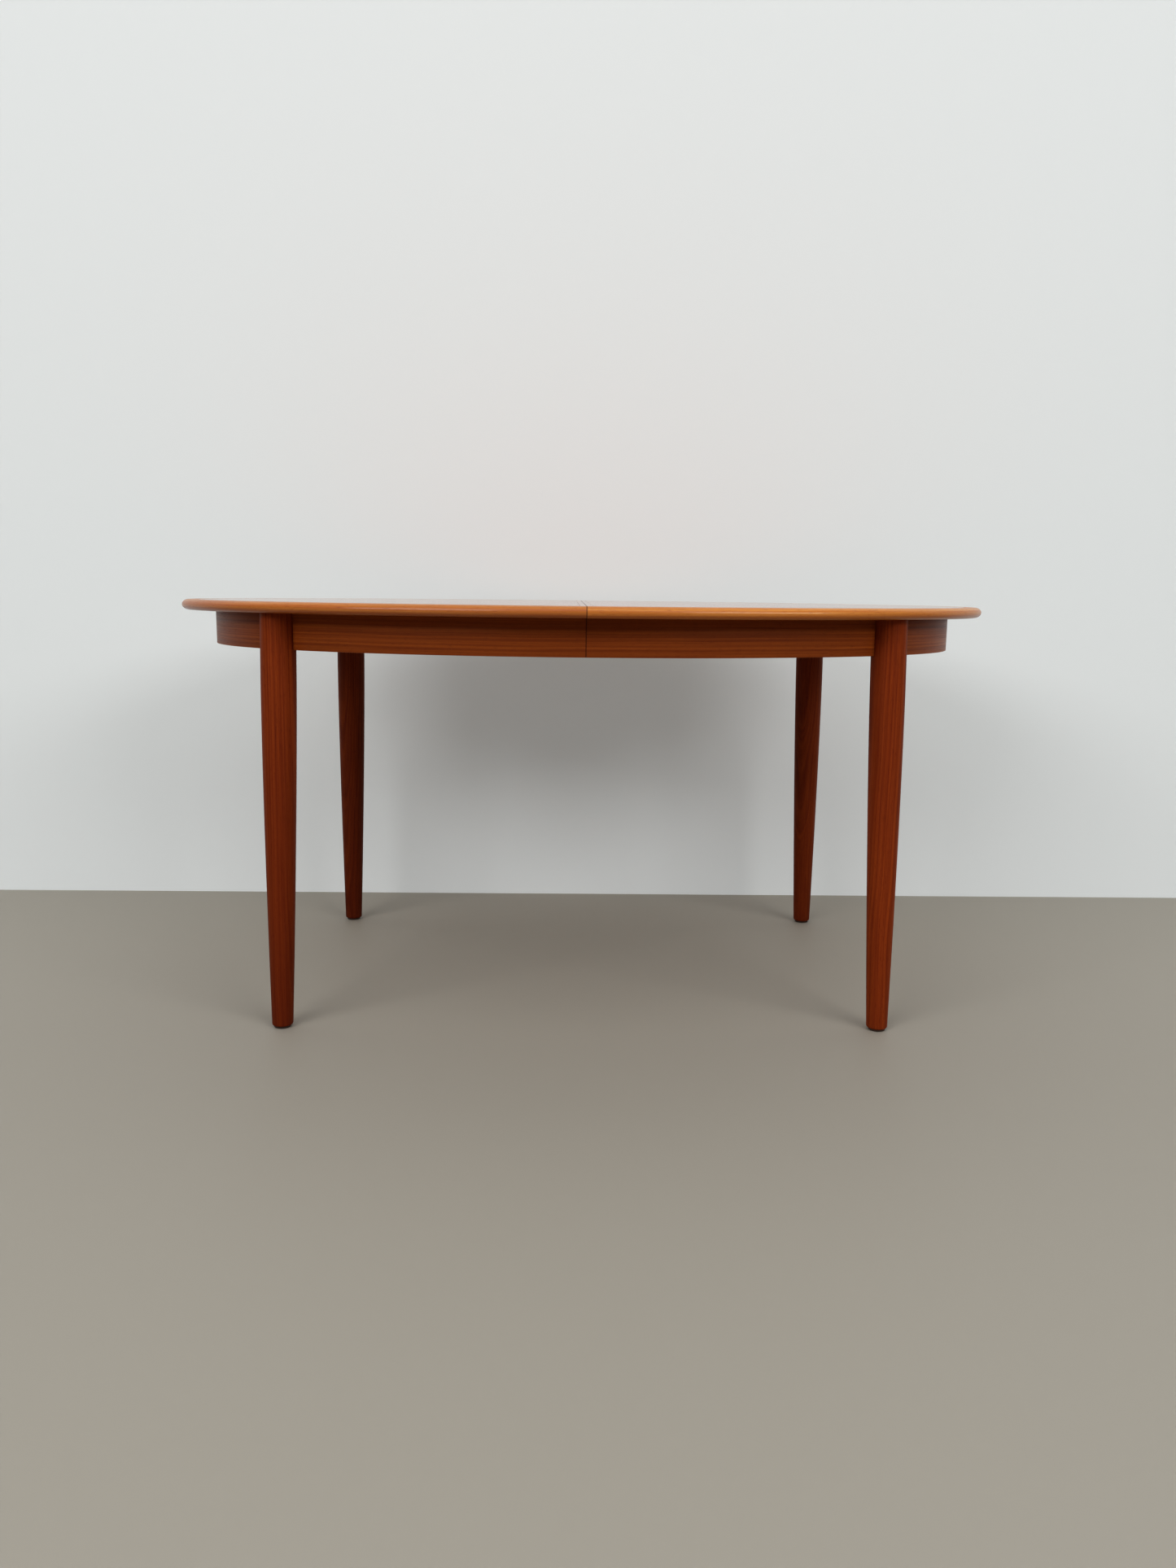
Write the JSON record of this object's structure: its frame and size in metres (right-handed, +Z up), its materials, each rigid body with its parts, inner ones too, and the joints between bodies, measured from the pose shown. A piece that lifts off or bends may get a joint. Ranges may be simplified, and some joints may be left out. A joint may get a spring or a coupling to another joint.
{
  "type": "extension dining table",
  "caption": "Oval extension dining table with tapered round legs; the top and apron split at the middle and pull apart on wooden runners to take loose leaves.",
  "frame": {"origin": "on the floor, under the middle of the closed top", "axes": "+X along the table towards the half that slides out, +Y towards the back, +Z up"},
  "size_m": [1.503, 1.042, 0.7305],
  "materials": {
    "top_veneer": "satin lacquered teak veneer, grain along the table",
    "solid_edge": "satin lacquered solid teak",
    "apron_wood": "satin lacquered teak",
    "leg_wood": "satin lacquered solid teak, grain along the leg",
    "pale_wood": "bare beech",
    "steel": "zinc plated steel",
    "brass": "brassed steel",
    "glide": "dark brown nylon"
  },
  "bodies": {
    "left_half": {"top_panel_left": "top_veneer", "edge_band_left": "solid_edge", "seam_strip_left": "solid_edge", "apron_end_left": "apron_wood", "cross_rail_left": "pale_wood", "apron_front_left": "apron_wood", "leg_front_left": "leg_wood", "glide_front_left": "glide", "leg_block_front_left": "pale_wood", "leg_bolt_front_left_lower": "steel", "leg_bolt_front_left_upper": "steel", "runner_left_front": "pale_wood", "runner_screw_left_front_inner": "brass", "runner_screw_left_front_outer": "brass", "apron_back_left": "apron_wood", "leg_back_left": "leg_wood", "glide_back_left": "glide", "leg_block_back_left": "pale_wood", "leg_bolt_back_left_lower": "steel", "leg_bolt_back_left_upper": "steel", "runner_left_back": "pale_wood", "runner_screw_left_back_inner": "brass", "runner_screw_left_back_outer": "brass", "latch_plate_front": "steel", "latch_pin_front": "steel", "latch_plate_back": "steel", "latch_pin_back": "steel"},
    "right_half": {"top_panel_right": "top_veneer", "edge_band_right": "solid_edge", "seam_strip_right": "solid_edge", "apron_end_right": "apron_wood", "cross_rail_right": "pale_wood", "apron_front_right": "apron_wood", "leg_front_right": "leg_wood", "glide_front_right": "glide", "leg_block_front_right": "pale_wood", "leg_bolt_front_right_lower": "steel", "leg_bolt_front_right_upper": "steel", "runner_right_front": "pale_wood", "runner_screw_right_front_inner": "brass", "runner_screw_right_front_outer": "brass", "apron_back_right": "apron_wood", "leg_back_right": "leg_wood", "glide_back_right": "glide", "leg_block_back_right": "pale_wood", "leg_bolt_back_right_lower": "steel", "leg_bolt_back_right_upper": "steel", "runner_right_back": "pale_wood", "runner_screw_right_back_inner": "brass", "runner_screw_right_back_outer": "brass", "dowel_front_inner": "pale_wood", "dowel_front_outer": "pale_wood", "latch_keeper_front": "steel", "dowel_back_inner": "pale_wood", "dowel_back_outer": "pale_wood", "latch_keeper_back": "steel"},
    "middle_runner_front": {"runner_middle_front": "pale_wood"},
    "middle_runner_back": {"runner_middle_back": "pale_wood"},
    "latch_front": {"latch_hook_front": "brass"},
    "latch_back": {"latch_hook_back": "brass"}
  },
  "joints": [
    {"name": "extension_slide", "type": "slide", "parent": "left_half", "child": "right_half", "axis": [1, 0, 0], "range_m": [0, 1]},
    {"name": "middle_runner_front_slide", "type": "slide", "parent": "left_half", "child": "middle_runner_front", "axis": [1, 0, 0], "range_m": [0, 0.5]},
    {"name": "middle_runner_back_slide", "type": "slide", "parent": "left_half", "child": "middle_runner_back", "axis": [1, 0, 0], "range_m": [0, 0.5]},
    {"name": "latch_front_hinge", "type": "hinge", "parent": "left_half", "child": "latch_front", "pos_m": [-0.038, -0.33, 0.707], "axis": [0, 0, 1], "range_deg": [-90, 0]},
    {"name": "latch_back_hinge", "type": "hinge", "parent": "left_half", "child": "latch_back", "pos_m": [-0.038, 0.33, 0.707], "axis": [0, 0, 1], "range_deg": [0, 90]}
  ],
  "couplings": [
    {"joint": "middle_runner_front_slide", "follows": "extension_slide", "ratio": 0.5},
    {"joint": "middle_runner_back_slide", "follows": "extension_slide", "ratio": 0.5}
  ]
}
